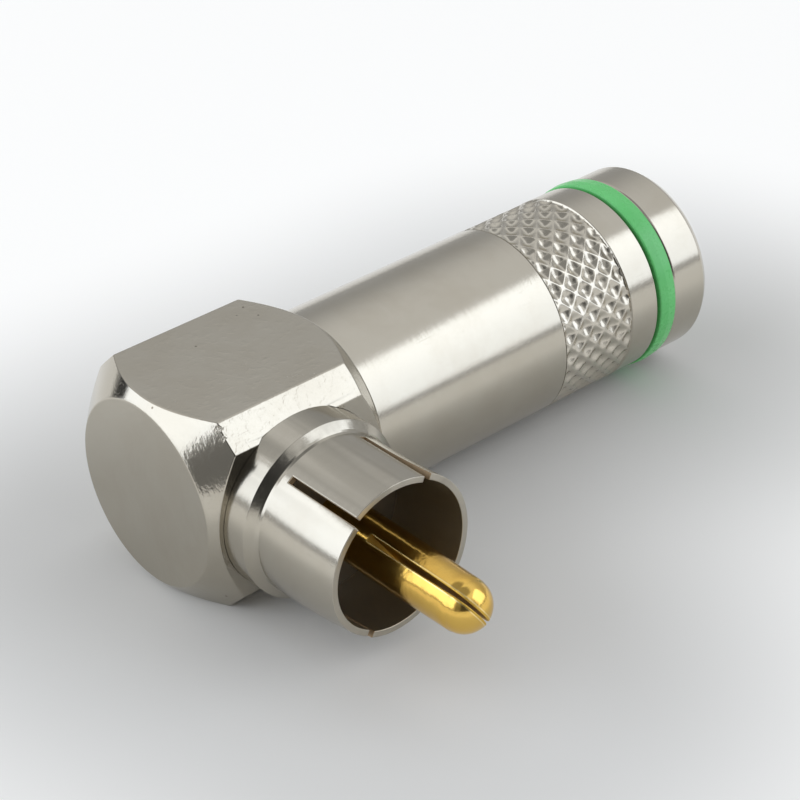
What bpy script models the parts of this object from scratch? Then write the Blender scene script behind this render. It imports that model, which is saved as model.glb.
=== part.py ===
"""Right-angle RCA plug for coaxial cable, closed by a compression plunger.

The plug points along -Y, the cable leaves along +X, and the elbow lies on its lower flat at Z = 0.
Turned pieces are profiles swept by a Screw modifier. A profile is a list of (distance, radius)
pairs, where the distance runs along the piece's own axis from the crossing of the two axes.
It starts at the far end, runs back along the outside, and returns through the bore if there is one.
"""
import math

import bmesh
import bpy
from mathutils import Vector

# Barrel, with a spigot pressed into the elbow and a knurled band
BARREL_LENGTH = 0.0221
BARREL_WALL = 0.0009
BARREL_SPIGOT_STEP = 0.0017
BARREL_SPIGOT_GAP = 0.0005
BARREL_WEB = 0.00285
BARREL_LIP = 0.00215
BARREL_EDGE = 0.00012
KNURL_LENGTH = 0.00555
KNURL_DEPTH = 0.00026
KNURL_CELLS = 26
KNURL_ROWS = 8

# Elbow, a cube milled from square brass bar and turned to a cone at both ends
FLAT_PROUD = 0.00015
EDGE_BEVEL = 0.0014
CLOSED_FACE_STEP = 0.0003
CLOSED_CONE_SLOPE = 0.89
OPEN_CONE_SLOPE = 0.93
ELBOW_BORE_PAST_AXIS = 0.0032
SPOT_FACE_DEPTH = 0.0002

# Plug shell, turned, with two saw cuts right across it that leave four tines
SHELL_RADIUS = 0.00480
SHELL_LENGTH = 0.00584
SHELL_WALL = 0.00038
SPIGOT_STEP = 0.0011
SPIGOT_LENGTH = 0.0016
COLLAR_STEP = 0.00054
COLLAR_LENGTH = 0.00184
COLLAR_CONE_LENGTH = 0.00036
LAND_STEP = 0.00012
LAND_LENGTH = 0.00006
RIM_CHAMFER = 0.00008
CUP_FLOOR_DEPTH = 0.0002
SAW_CUT_ANGLES = (math.radians(63.0), math.radians(126.0))
SAW_CUT_WIDTH = 0.00040
SAW_CUT_LENGTH = 0.00510
# How far each tine's tip is sprung outwards, in the order of the angles of the saw cuts
TINE_SPRINGS = (0.00005, -0.00035, -0.00012, 0.00012)

# Centre pin, gold plated, with a slot across its tip
PIN_RADIUS = 0.0016
PIN_PROUD = 0.00665
NOSE_LENGTH = 0.0013
NOSE_SHOULDER = 0.00008
PIN_SLOT_WIDTH = 0.00045
PIN_SLOT_LENGTH = 0.0078
SHANK_STEP = 0.0004
SHANK_PAST_AXIS = 0.0013
INSULATOR_WALL = 0.0010
INSULATOR_FLANGE = 0.0010
INSULATOR_TAIL_GAP = 0.0002

# Cable post, with barbs that grip the braid. The cable's dielectric goes through it, its braid
# and jacket go round it, and so every radius from here out to the barrel follows the dielectric's.
DIELECTRIC_RADIUS = 0.0024
JACKET_ROOM = 0.00105
POST_FLANGE = 0.0010
POST_WALL = 0.00045
POST_SHOULDER = 0.00035
POST_LENGTH = 0.0116
BARB_HEIGHT = 0.00025
BARB_LENGTH = 0.0012
BARB_COUNT = 2
SOCKET_SEAT_STEP = 0.0003
SOCKET_SEAT_DEPTH = 0.0040

# Contact socket for the cable's centre wire, and its insulator
SOCKET_RADIUS = 0.0011
SOCKET_FLANGE_RADIUS = 0.0017
SOCKET_FLANGE = 0.0008
SOCKET_LENGTH = 0.0063
SOCKET_BORE_RADIUS = 0.00055
SOCKET_BORE_DEPTH = 0.0040
SOCKET_SLOT_WIDTH = 0.0003
SOCKET_SLOT_LENGTH = 0.0030
SOCKET_NOSE_RADIUS = 0.0006
SOCKET_NOSE_PAST_AXIS = 0.0016

# Compression plunger: a plastic ferrule with the coloured ring, and a metal cap on its tail
FERRULE_REACH = 0.0096
FERRULE_WALL = 0.00095
FERRULE_MOUTH_TAPER = 0.0004
FERRULE_MOUTH_LENGTH = 0.0016
FERRULE_TAIL_WALL = 0.0007
FERRULE_TAIL_LENGTH = 0.0015
RING_WIDTH = 0.00155
RING_BEVEL = 0.00018
SLEEVE_SEAL_CORD = 0.00044
SLEEVE_SEAL_BACK = 0.0020
SLEEVE_GROOVE_DEPTH = 0.0005
CAP_LENGTH = 0.0031
CAP_ROUND = 0.0005
CAP_EDGE = 0.00008
JACKET_SEAL_CORD = 0.0008

# Clearances: all round for fits, and along the axis for seals
FIT_GAP = 0.0001
SLIDE_GAP = 0.00015
SEAL_GAP = 0.00005

# Facets around the visible, hidden and smallest turned pieces
FINE_STEPS = 54
PLAIN_STEPS = 28
SMALL_STEPS = 24

# Radii and places that follow from the sizes, the places along each axis from the axes' crossing
SOCKET_SEAT_RADIUS = DIELECTRIC_RADIUS + SOCKET_SEAT_STEP
POST_RADIUS = DIELECTRIC_RADIUS + POST_WALL
POST_BORE_RADIUS = POST_RADIUS + POST_SHOULDER
FERRULE_BORE_RADIUS = POST_RADIUS + JACKET_ROOM
FERRULE_TAIL_RADIUS = FERRULE_BORE_RADIUS + FERRULE_TAIL_WALL
SLEEVE_RADIUS = FERRULE_BORE_RADIUS + FERRULE_WALL
BARREL_BORE_RADIUS = SLEEVE_RADIUS + SLIDE_GAP
BARREL_RADIUS = BARREL_BORE_RADIUS + BARREL_WALL
ELBOW_BORE_RADIUS = BARREL_RADIUS - BARREL_SPIGOT_STEP
PLUG_BORE_RADIUS = SHELL_RADIUS - SPIGOT_STEP
COLLAR_RADIUS = SHELL_RADIUS + COLLAR_STEP
LAND_RADIUS = SHELL_RADIUS + LAND_STEP
SHANK_RADIUS = PIN_RADIUS - SHANK_STEP
INSULATOR_BORE_RADIUS = PIN_RADIUS + INSULATOR_WALL + FIT_GAP
FLAT = BARREL_RADIUS + FLAT_PROUD
SQUARE = 2 * FLAT
COLLAR_SEAT = FLAT - SPOT_FACE_DEPTH
COLLAR_FRONT = COLLAR_SEAT + COLLAR_LENGTH
SHELL_ROOT = COLLAR_FRONT + COLLAR_CONE_LENGTH + LAND_LENGTH
RIM = SHELL_ROOT + SHELL_LENGTH
CUP_FLOOR = SHELL_ROOT - CUP_FLOOR_DEPTH
INSULATOR_TAIL = POST_BORE_RADIUS + INSULATOR_TAIL_GAP
PIN_SEAT = CUP_FLOOR + INSULATOR_FLANGE
PIN_TIP = RIM + PIN_PROUD
BARREL_END = FLAT + BARREL_LENGTH
BARREL_SPIGOT = INSULATOR_BORE_RADIUS + BARREL_SPIGOT_GAP
WEB_FACE = FLAT + BARREL_WEB
SOCKET_SEAT = BARREL_SPIGOT + SOCKET_SEAT_DEPTH
RING_END = BARREL_END + RING_WIDTH
TAIL_END = RING_END + FERRULE_TAIL_LENGTH
CAP_END = RING_END + CAP_LENGTH

# Distance at which points count as one, and the turn between faces that makes an edge sharp
MERGE = 1e-6
SHARP_ANGLE = math.radians(32.0)


def fresh_collection(name):
    """A new collection in the scene."""
    collection = bpy.data.collections.new(name)
    bpy.context.scene.collection.children.link(collection)
    return collection


def material(name, colour, roughness, metallic):
    """A plain Principled material."""
    made = bpy.data.materials.new(name)
    made.use_nodes = True
    shader = made.node_tree.nodes["Principled BSDF"]
    shader.inputs["Base Color"].default_value = (*colour, 1.0)
    shader.inputs["Roughness"].default_value = roughness
    shader.inputs["Metallic"].default_value = metallic
    return made


def axis_empty(name, rotation, parent=None):
    """An empty whose local Z lies along one of the plug's two axes."""
    empty = bpy.data.objects.new(name, None)
    empty.empty_display_size = SQUARE
    PARTS.objects.link(empty)
    if parent:
        empty.parent = parent
    else:
        empty.location = (0.0, 0.0, FLAT)
        empty.rotation_euler = rotation
    return empty


def place(name, mesh, axis, finish=None):
    """An object on an axis: a part if it has a finish, and a cutter if it has none."""
    made = bpy.data.objects.new(name, mesh)
    made.parent = axis
    if finish:
        PARTS.objects.link(made)
        mesh.materials.append(finish)
    else:
        CUTTERS.objects.link(made)
        made.hide_render = True
        made.display_type = "WIRE"
    return made


def turned(name, profile, axis, steps, finish=None, bored=False):
    """A turned piece from its profile. A bored profile closes on itself."""
    mesh = bpy.data.meshes.new(name)
    points = [(radius, 0.0, along) for along, radius in profile]
    edges = [(i, i + 1) for i in range(len(points) - 1)]
    if bored:
        edges.append((len(points) - 1, 0))
    mesh.from_pydata(points, edges, [])
    made = place(name, mesh, axis, finish)
    screw = made.modifiers.new("turn", "SCREW")
    screw.axis = "Z"
    screw.angle = math.tau
    screw.steps = steps
    screw.render_steps = steps
    screw.use_merge_vertices = True
    screw.merge_threshold = MERGE
    screw.use_smooth_shade = True
    return made


def block(name, size, centre, axis, turn=0.0):
    """A box cutter, turned about its axis."""
    mesh = bpy.data.meshes.new(name)
    form = bmesh.new()
    bmesh.ops.create_cube(form, size=1.0)
    bmesh.ops.scale(form, vec=size, verts=form.verts)
    form.to_mesh(mesh)
    form.free()
    made = place(name, mesh, axis)
    made.location = centre
    made.rotation_euler = (0.0, 0.0, turn)
    return made


def combine(piece, tool, operation):
    """A Boolean of the piece with a tool."""
    step = piece.modifiers.new(operation.lower() + "_" + tool.name, "BOOLEAN")
    step.operation = operation
    step.solver = "EXACT"
    step.object = tool


def settle(piece):
    """Turns the piece's modifiers into its mesh, smooth but for its real edges."""
    bpy.context.view_layer.update()
    graph = bpy.context.evaluated_depsgraph_get()
    mesh = bpy.data.meshes.new_from_object(piece.evaluated_get(graph))
    mesh.name = piece.name
    piece.modifiers.clear()
    piece.data = mesh
    mesh.shade_smooth()
    mesh.set_sharp_from_angle(angle=SHARP_ANGLE)
    return mesh


def arc(along, radius, size, start, end, points):
    """Points on a quarter round or a part of one, about a centre in the profile's plane."""
    made = []
    for i in range(points + 1):
        angle = math.radians(start + (end - start) * i / points)
        made.append((along + size * math.sin(angle), radius + size * math.cos(angle)))
    return made


def make_elbow():
    """Square bar with bevelled long edges, turned to a cone at each end, and cross bored."""
    mesh = bpy.data.meshes.new("elbow_body")
    form = bmesh.new()
    bmesh.ops.create_cube(form, size=SQUARE)
    long_edges = [e for e in form.edges if abs(e.verts[0].co.z - e.verts[1].co.z) > SQUARE / 2]
    bmesh.ops.bevel(form, geom=long_edges, offset=EDGE_BEVEL, affect="EDGES", segments=1)
    form.to_mesh(mesh)
    form.free()
    elbow = place("elbow_body", mesh, CABLE_AXIS, NICKEL)

    # The cones start at the bar's corners, and run down to a round face at each end.
    corner = SQUARE / math.sqrt(2)
    open_face_radius = BARREL_RADIUS + SEAL_GAP
    closed_face_radius = BARREL_RADIUS - CLOSED_FACE_STEP
    envelope = [
        (FLAT, 0.0),
        (FLAT, open_face_radius),
        (FLAT - (corner - open_face_radius) * OPEN_CONE_SLOPE, corner),
        (-FLAT + (corner - closed_face_radius) * CLOSED_CONE_SLOPE, corner),
        (-FLAT, closed_face_radius),
        (-FLAT, 0.0),
    ]
    combine(elbow, turned("elbow_cones", envelope, CABLE_AXIS, 2 * FINE_STEPS), "INTERSECT")

    bore = [
        (SQUARE, 0.0),
        (SQUARE, ELBOW_BORE_RADIUS),
        (-ELBOW_BORE_PAST_AXIS, ELBOW_BORE_RADIUS),
        (-ELBOW_BORE_PAST_AXIS, 0.0),
    ]
    combine(elbow, turned("elbow_bore", bore, CABLE_AXIS, PLAIN_STEPS), "DIFFERENCE")
    spot_face = COLLAR_RADIUS + FIT_GAP
    plug_bore = [
        (SQUARE, 0.0),
        (SQUARE, spot_face),
        (COLLAR_SEAT, spot_face),
        (COLLAR_SEAT, PLUG_BORE_RADIUS),
        (0.0, PLUG_BORE_RADIUS),
        (0.0, 0.0),
    ]
    combine(elbow, turned("plug_bore", plug_bore, PLUG_AXIS, PLAIN_STEPS), "DIFFERENCE")
    settle(elbow)


def spring_tines(mesh):
    """Bends each tine a little, from the end of the saw cuts to the rim."""
    cuts = sorted(a % math.pi for a in SAW_CUT_ANGLES)
    bounds = cuts + [a + math.pi for a in cuts]
    root = RIM - SAW_CUT_LENGTH
    for vertex in mesh.vertices:
        share = (vertex.co.z - root) / SAW_CUT_LENGTH
        if share <= 0.0:
            continue
        angle = math.atan2(vertex.co.y, vertex.co.x) % math.tau
        index = max((i for i, bound in enumerate(bounds) if angle >= bound), default=len(bounds) - 1)
        away = Vector((vertex.co.x, vertex.co.y, 0.0)).normalized()
        vertex.co += away * TINE_SPRINGS[index] * share ** 2


def make_plug_shell():
    """The outer contact: a spigot in the elbow, a collar, and a thin wall split into tines."""
    bore = SHELL_RADIUS - SHELL_WALL
    spigot = PLUG_BORE_RADIUS - FIT_GAP
    bends = 3
    outside = [
        (RIM, SHELL_RADIUS - RIM_CHAMFER),
        (RIM - RIM_CHAMFER, SHELL_RADIUS),
    ]
    inside = []
    for i in range(1, bends):
        along = RIM - SAW_CUT_LENGTH * i / bends
        outside.append((along, SHELL_RADIUS))
        inside.insert(0, (along, bore))
    profile = outside + [
        (SHELL_ROOT, SHELL_RADIUS),
        (SHELL_ROOT, LAND_RADIUS),
        (SHELL_ROOT - LAND_LENGTH, LAND_RADIUS),
        (COLLAR_FRONT, COLLAR_RADIUS),
        (COLLAR_SEAT, COLLAR_RADIUS),
        (COLLAR_SEAT, spigot),
        (COLLAR_SEAT - SPIGOT_LENGTH, spigot),
        (COLLAR_SEAT - SPIGOT_LENGTH, INSULATOR_BORE_RADIUS),
        (CUP_FLOOR, INSULATOR_BORE_RADIUS),
        (CUP_FLOOR, bore),
    ] + inside + [(RIM, bore)]
    shell = turned("plug_shell", profile, PLUG_AXIS, FINE_STEPS, NICKEL, bored=True)
    cut_size = (2 * SQUARE, SAW_CUT_WIDTH, 2 * SAW_CUT_LENGTH)
    for i, angle in enumerate(SAW_CUT_ANGLES):
        combine(shell, block(f"saw_cut_{i + 1}", cut_size, (0.0, 0.0, RIM), PLUG_AXIS, angle), "DIFFERENCE")
    spring_tines(settle(shell))


def make_pin_insulator():
    """A black bush whose flange lies on the floor of the cup and whose tail reaches the elbow."""
    flange = SHELL_RADIUS - SHELL_WALL - FIT_GAP
    outside = INSULATOR_BORE_RADIUS - FIT_GAP
    bore = SHANK_RADIUS + FIT_GAP
    profile = [
        (PIN_SEAT, flange),
        (CUP_FLOOR, flange),
        (CUP_FLOOR, outside),
        (INSULATOR_TAIL, outside),
        (INSULATOR_TAIL, bore),
        (PIN_SEAT, bore),
    ]
    settle(turned("pin_insulator", profile, PLUG_AXIS, PLAIN_STEPS, BLACK, bored=True))


def make_center_pin():
    """The split pin, whose shank reaches across the elbow and is cross drilled for the socket."""
    nose_root = PIN_TIP - NOSE_LENGTH
    nose_radius = PIN_RADIUS - NOSE_SHOULDER
    nose_points = 5
    profile = []
    for i in range(nose_points + 1):
        angle = math.pi / 2 * i / nose_points
        profile.append((nose_root + NOSE_LENGTH * math.cos(angle), nose_radius * math.sin(angle)))
    profile += [
        (nose_root - NOSE_SHOULDER, PIN_RADIUS),
        (PIN_SEAT, PIN_RADIUS),
        (PIN_SEAT, SHANK_RADIUS),
        (-SHANK_PAST_AXIS, SHANK_RADIUS),
        (-SHANK_PAST_AXIS, 0.0),
    ]
    pin = turned("center_pin", profile, PLUG_AXIS, PLAIN_STEPS, GOLD)
    slot_size = (4 * PIN_RADIUS, PIN_SLOT_WIDTH, 2 * PIN_SLOT_LENGTH)
    slot = block("pin_slot", slot_size, (0.0, 0.0, PIN_TIP), PLUG_AXIS, SAW_CUT_ANGLES[1])
    combine(pin, slot, "DIFFERENCE")
    drill = SOCKET_NOSE_RADIUS + FIT_GAP
    cross_hole = [(SQUARE, 0.0), (SQUARE, drill), (-SQUARE, drill), (-SQUARE, 0.0)]
    combine(pin, turned("cross_hole", cross_hole, CABLE_AXIS, SMALL_STEPS), "DIFFERENCE")
    settle(pin)


def make_contact_socket():
    """The gold collet that grips the cable's wire, with a nose through the pin's shank."""
    front = BARREL_SPIGOT
    back = front + SOCKET_LENGTH
    bore_floor = back - SOCKET_BORE_DEPTH
    profile = [
        (back, SOCKET_RADIUS),
        (front, SOCKET_RADIUS),
        (front, SOCKET_FLANGE_RADIUS),
        (front - SOCKET_FLANGE, SOCKET_FLANGE_RADIUS),
        (front - SOCKET_FLANGE, SOCKET_NOSE_RADIUS),
        (-SOCKET_NOSE_PAST_AXIS, SOCKET_NOSE_RADIUS),
        (-SOCKET_NOSE_PAST_AXIS, 0.0),
    ]
    profile = [(bore_floor, 0.0), (bore_floor, SOCKET_BORE_RADIUS), (back, SOCKET_BORE_RADIUS)] + profile
    socket = turned("contact_socket", profile, CABLE_AXIS, SMALL_STEPS, GOLD)
    slot_size = (4 * SOCKET_RADIUS, SOCKET_SLOT_WIDTH, 2 * SOCKET_SLOT_LENGTH)
    combine(socket, block("socket_slot", slot_size, (0.0, 0.0, back), CABLE_AXIS), "DIFFERENCE")
    settle(socket)


def make_socket_insulator():
    """A white bush that holds the contact socket in the middle of the cable post."""
    outside = SOCKET_SEAT_RADIUS - FIT_GAP
    bore = SOCKET_RADIUS + FIT_GAP
    profile = [
        (SOCKET_SEAT, outside),
        (BARREL_SPIGOT, outside),
        (BARREL_SPIGOT, bore),
        (SOCKET_SEAT, bore),
    ]
    settle(turned("socket_insulator", profile, CABLE_AXIS, SMALL_STEPS, WHITE, bored=True))


def make_cable_post():
    """The tube that goes under the cable's braid, flanged against the barrel's web and barbed."""
    shank = POST_BORE_RADIUS - FIT_GAP
    flange = BARREL_BORE_RADIUS - FIT_GAP
    flange_end = WEB_FACE + POST_FLANGE
    post_end = flange_end + POST_LENGTH
    profile = []
    for i in range(BARB_COUNT):
        tip = post_end - BARB_LENGTH * i
        profile += [(tip, POST_RADIUS), (tip - BARB_LENGTH, POST_RADIUS + BARB_HEIGHT)]
    last = post_end - BARB_LENGTH * BARB_COUNT
    profile += [
        (last, POST_RADIUS),
        (flange_end, POST_RADIUS),
        (flange_end, flange),
        (WEB_FACE, flange),
        (WEB_FACE, shank),
        (BARREL_SPIGOT, shank),
        (BARREL_SPIGOT, SOCKET_SEAT_RADIUS),
        (SOCKET_SEAT, SOCKET_SEAT_RADIUS),
        (SOCKET_SEAT, DIELECTRIC_RADIUS),
        (post_end, DIELECTRIC_RADIUS),
    ]
    settle(turned("cable_post", profile, CABLE_AXIS, PLAIN_STEPS, BRASS, bored=True))


def knurl_rings():
    """Where the rings of points of the knurled band lie: its two ends, and one to each row."""
    end = BARREL_END - BARREL_LIP
    pitch = KNURL_LENGTH / KNURL_ROWS
    rows = [end - KNURL_LENGTH + pitch * (i + 0.5) for i in range(KNURL_ROWS)]
    return [end - KNURL_LENGTH, *rows, end]


def press_knurl(mesh):
    """Sinks every second point of the knurled band and folds the wall along the ridges between."""
    rings = knurl_rings()
    turn = math.pi / KNURL_CELLS
    form = bmesh.new()
    form.from_mesh(mesh)
    grid = {}
    for vertex in form.verts:
        row = min(range(len(rings)), key=lambda i: abs(rings[i] - vertex.co.z))
        radius = math.hypot(vertex.co.x, vertex.co.y)
        if abs(rings[row] - vertex.co.z) < MERGE and abs(radius - BARREL_RADIUS) < MERGE:
            column = math.atan2(vertex.co.y, vertex.co.x) / turn
            grid[vertex] = (row, round(column))
    ridges = []
    for face in form.faces:
        raised = [v for v in face.verts if v in grid and sum(grid[v]) % 2 == 0]
        if len(raised) == 2 and all(v in grid for v in face.verts):
            ridges.append(raised)
    for pair in ridges:
        bmesh.ops.connect_verts(form, verts=pair)
    for vertex, (row, column) in grid.items():
        if 0 < row < len(rings) - 1 and (row + column) % 2:
            away = Vector((vertex.co.x, vertex.co.y, 0.0)).normalized()
            vertex.co -= away * KNURL_DEPTH
    form.to_mesh(mesh)
    form.free()


def make_barrel():
    """The long outer tube: a spigot in the elbow, a plain length, the knurl and a plain lip."""
    spigot = ELBOW_BORE_RADIUS - FIT_GAP
    outside = [
        (BARREL_END, 0.0),
        (BARREL_END, BARREL_RADIUS - BARREL_EDGE),
        (BARREL_END - BARREL_EDGE, BARREL_RADIUS),
    ]
    outside += [(along, BARREL_RADIUS) for along in reversed(knurl_rings())]
    outside += [
        (FLAT + BARREL_EDGE, BARREL_RADIUS),
        (FLAT, BARREL_RADIUS - BARREL_EDGE),
        (FLAT, spigot),
        (BARREL_SPIGOT, spigot),
        (BARREL_SPIGOT, 0.0),
    ]
    barrel = turned("barrel", outside, CABLE_AXIS, 2 * KNURL_CELLS, NICKEL)
    press_knurl(settle(barrel))
    bore = [
        (BARREL_END + SQUARE, 0.0),
        (BARREL_END + SQUARE, BARREL_BORE_RADIUS),
        (WEB_FACE, BARREL_BORE_RADIUS),
        (WEB_FACE, POST_BORE_RADIUS),
        (BARREL_SPIGOT - SQUARE, POST_BORE_RADIUS),
        (BARREL_SPIGOT - SQUARE, 0.0),
    ]
    combine(barrel, turned("barrel_bore", bore, CABLE_AXIS, PLAIN_STEPS), "DIFFERENCE")
    settle(barrel)


def make_compression_ferrule():
    """The plastic sleeve that squeezes the cable's jacket, with the ring as high as the flats."""
    front = BARREL_END - FERRULE_REACH
    groove = front + SLEEVE_SEAL_BACK
    groove_width = SLEEVE_SEAL_CORD + 2 * SEAL_GAP
    groove_radius = SLEEVE_RADIUS - SLEEVE_GROOVE_DEPTH
    profile = [
        (TAIL_END, FERRULE_TAIL_RADIUS),
        (RING_END, FERRULE_TAIL_RADIUS),
        (RING_END, FLAT - RING_BEVEL),
        (RING_END - RING_BEVEL, FLAT),
        (BARREL_END + RING_BEVEL, FLAT),
        (BARREL_END, FLAT - RING_BEVEL),
        (BARREL_END, SLEEVE_RADIUS),
        (groove + groove_width, SLEEVE_RADIUS),
        (groove + groove_width, groove_radius),
        (groove, groove_radius),
        (groove, SLEEVE_RADIUS),
        (front, SLEEVE_RADIUS),
        (front, FERRULE_BORE_RADIUS + FERRULE_MOUTH_TAPER),
        (front + FERRULE_MOUTH_LENGTH, FERRULE_BORE_RADIUS),
        (TAIL_END, FERRULE_BORE_RADIUS),
    ]
    settle(turned("compression_ferrule", profile, PLUNGER_AXIS, FINE_STEPS, GREEN, bored=True))

    middle = groove + groove_width / 2
    seal_radius = groove_radius + SEAL_GAP + SLEEVE_SEAL_CORD / 2
    make_seal("sleeve_seal", middle, seal_radius, SLEEVE_SEAL_CORD / 2)


def make_seal(name, along, radius, cord_radius):
    """A rubber ring of round section."""
    sides = 6
    profile = []
    for i in range(sides):
        angle = math.tau * (i + 0.5) / sides
        profile.append((along + cord_radius * math.cos(angle), radius + cord_radius * math.sin(angle)))
    settle(turned(name, profile, PLUNGER_AXIS, SMALL_STEPS, RUBBER, bored=True))


def make_end_cap():
    """The metal collar pressed on the ferrule's tail, with the cable's mouth in its end."""
    socket = FERRULE_TAIL_RADIUS + FIT_GAP
    seat = TAIL_END + JACKET_SEAL_CORD + 2 * SEAL_GAP
    profile = arc(CAP_END - CAP_ROUND, BARREL_RADIUS - CAP_ROUND, CAP_ROUND, 90.0, 0.0, 3)
    profile += [
        (RING_END + CAP_EDGE, BARREL_RADIUS),
        (RING_END, BARREL_RADIUS - CAP_EDGE),
        (RING_END, socket),
        (seat, socket),
        (seat, FERRULE_BORE_RADIUS),
        (CAP_END, FERRULE_BORE_RADIUS),
    ]
    settle(turned("end_cap", profile, PLUNGER_AXIS, FINE_STEPS, NICKEL, bored=True))

    middle = TAIL_END + SEAL_GAP + JACKET_SEAL_CORD / 2
    seal_radius = socket - SEAL_GAP - JACKET_SEAL_CORD / 2
    make_seal("jacket_seal", middle, seal_radius, JACKET_SEAL_CORD / 2)


for old in list(bpy.data.objects):
    bpy.data.objects.remove(old, do_unlink=True)

PARTS = fresh_collection("right_angle_rca_plug")
CUTTERS = fresh_collection("right_angle_rca_plug_cutters")

NICKEL = material("nickel_plate", (0.62, 0.59, 0.53), 0.25, 1.0)
GOLD = material("gold_plate", (0.80, 0.55, 0.17), 0.22, 1.0)
BRASS = material("tinned_brass", (0.66, 0.62, 0.50), 0.35, 1.0)
GREEN = material("green_plastic", (0.07, 0.47, 0.14), 0.40, 0.0)
BLACK = material("black_plastic", (0.02, 0.02, 0.02), 0.45, 0.0)
WHITE = material("white_plastic", (0.85, 0.85, 0.82), 0.40, 0.0)
RUBBER = material("black_rubber", (0.03, 0.03, 0.03), 0.70, 0.0)

# Local Z lies along +X for the cable, and along -Y for the plug.
CABLE_AXIS = axis_empty("cable_axis", (0.0, math.pi / 2, 0.0))
PLUG_AXIS = axis_empty("plug_axis", (math.pi / 2, 0.0, 0.0))
PLUNGER_AXIS = axis_empty("plunger_axis", (0.0, 0.0, 0.0), parent=CABLE_AXIS)

make_elbow()
make_plug_shell()
make_pin_insulator()
make_center_pin()
make_contact_socket()
make_socket_insulator()
make_cable_post()
make_barrel()
make_compression_ferrule()
make_end_cap()
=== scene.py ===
import math

import bmesh
import bpy
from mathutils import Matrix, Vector


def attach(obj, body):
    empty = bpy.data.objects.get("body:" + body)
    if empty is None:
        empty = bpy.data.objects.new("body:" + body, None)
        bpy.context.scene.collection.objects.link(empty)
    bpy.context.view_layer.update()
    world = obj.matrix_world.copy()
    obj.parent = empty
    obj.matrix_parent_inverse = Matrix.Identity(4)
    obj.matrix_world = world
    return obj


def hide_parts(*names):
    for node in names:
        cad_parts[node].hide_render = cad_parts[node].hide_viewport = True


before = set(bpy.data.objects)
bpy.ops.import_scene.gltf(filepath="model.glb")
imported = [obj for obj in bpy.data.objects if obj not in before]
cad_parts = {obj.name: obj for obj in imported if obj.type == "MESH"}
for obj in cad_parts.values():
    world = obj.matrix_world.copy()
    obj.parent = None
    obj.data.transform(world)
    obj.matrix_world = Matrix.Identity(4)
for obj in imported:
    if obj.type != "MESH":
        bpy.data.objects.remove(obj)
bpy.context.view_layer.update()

scene = bpy.context.scene

# The camera of the photograph: about 14 cm away, low over the plug's left front corner, with a
# long lens. X runs along the barrel, -Y along the pin, and Z = 0 is the elbow's lower flat.
camera_data = bpy.data.cameras.new("photo_camera")
camera_data.sensor_width = 36.0
camera_data.lens = 113.08
camera_data.shift_x = 0.0061
camera_data.shift_y = -0.0062
camera_data.clip_start = 0.005
camera_data.clip_end = 20.0
camera = bpy.data.objects.new("photo_camera", camera_data)
camera.location = (-0.06910, -0.09436, 0.08464)
camera.rotation_euler = [math.radians(angle) for angle in (57.212, 1.042, -41.384)]
scene.collection.objects.link(camera)
scene.camera = camera


# Elbow. A cube of square brass bar with its long edges bevelled, turned to a cone at each end
# where it meets the barrel and at its plain closed end, cross bored, and nickel plated.
AXIS_HEIGHT = 0.00605
HALF_BAR = 0.00605
BAR_BEVEL = 0.0014
CLOSED_FACE = 0.0056
CLOSED_CONE = 0.89
OPEN_FACE = 0.00595
OPEN_CONE = 0.93
BAR_EDGE = 0.00015
ELBOW_BORE = 0.0042
ELBOW_BORE_END = -0.0032
PLUG_BORE = 0.0037
SPOT_FACE = 0.00536
COLLAR_SEAT = 0.00585
CUTTER_END = 0.01
MOST_ROUNDED = 0.40
MOST_HELD = 0.06


def eased(line, size, steps=5, closed=False, guard=0.00003):
    """The line with each corner rounded, and a point held close on either side of the round."""
    made = []
    for i, point in enumerate(line):
        here = Vector(point)
        if not closed and i in (0, len(line) - 1):
            made.append(here)
            continue
        back = Vector(line[i - 1]) - here
        ahead = Vector(line[(i + 1) % len(line)]) - here
        half = back.angle(ahead) / 2
        shorter = min(back.length, ahead.length)
        reach = min(size / math.tan(half), MOST_ROUNDED * shorter)
        hold = min(guard, MOST_HELD * shorter)
        back.normalize()
        ahead.normalize()
        centre = here + (back + ahead).normalized() * reach / math.cos(half)
        first = here + back * reach - centre
        last = here + ahead * reach - centre
        made.append(here + back * (reach + hold))
        for k in range(steps + 1):
            share = k / steps
            sweep = math.pi - 2 * half
            weight_a = math.sin((1 - share) * sweep) / math.sin(sweep)
            weight_b = math.sin(share * sweep) / math.sin(sweep)
            made.append(centre + first * weight_a + last * weight_b)
        made.append(here + ahead * (reach + hold))
    return made


def filled(line, spacing, closed=False):
    """The line with its long stretches divided evenly."""
    made = []
    for i, point in enumerate(line):
        made.append(Vector(point))
        if i == len(line) - 1 and not closed:
            break
        step = Vector(line[(i + 1) % len(line)]) - Vector(point)
        count = math.ceil(step.length / spacing)
        made += [Vector(point) + step * k / count for k in range(1, count)]
    return made


def outward(form):
    """The closed form with all its faces pointing outwards."""
    bmesh.ops.recalc_face_normals(form, faces=form.faces)
    if form.calc_volume(signed=True) < 0.0:
        bmesh.ops.reverse_faces(form, faces=form.faces)
    return form


def skinned(rings, closed=False):
    """A form whose rings of points are joined one to the next. A ring of one point is a pole."""
    form = bmesh.new()
    made = [[form.verts.new(point) for point in ring] for ring in rings]
    pairs = list(zip(made, made[1:]))
    if closed:
        pairs.append((made[-1], made[0]))
    for one, two in pairs:
        count = max(len(one), len(two))
        for k in range(count):
            after = (k + 1) % count
            if len(one) == 1:
                form.faces.new((one[0], two[k], two[after]))
            elif len(two) == 1:
                form.faces.new((one[k], two[0], one[after]))
            else:
                form.faces.new((one[k], two[k], two[after], one[after]))
    return outward(form)


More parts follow.
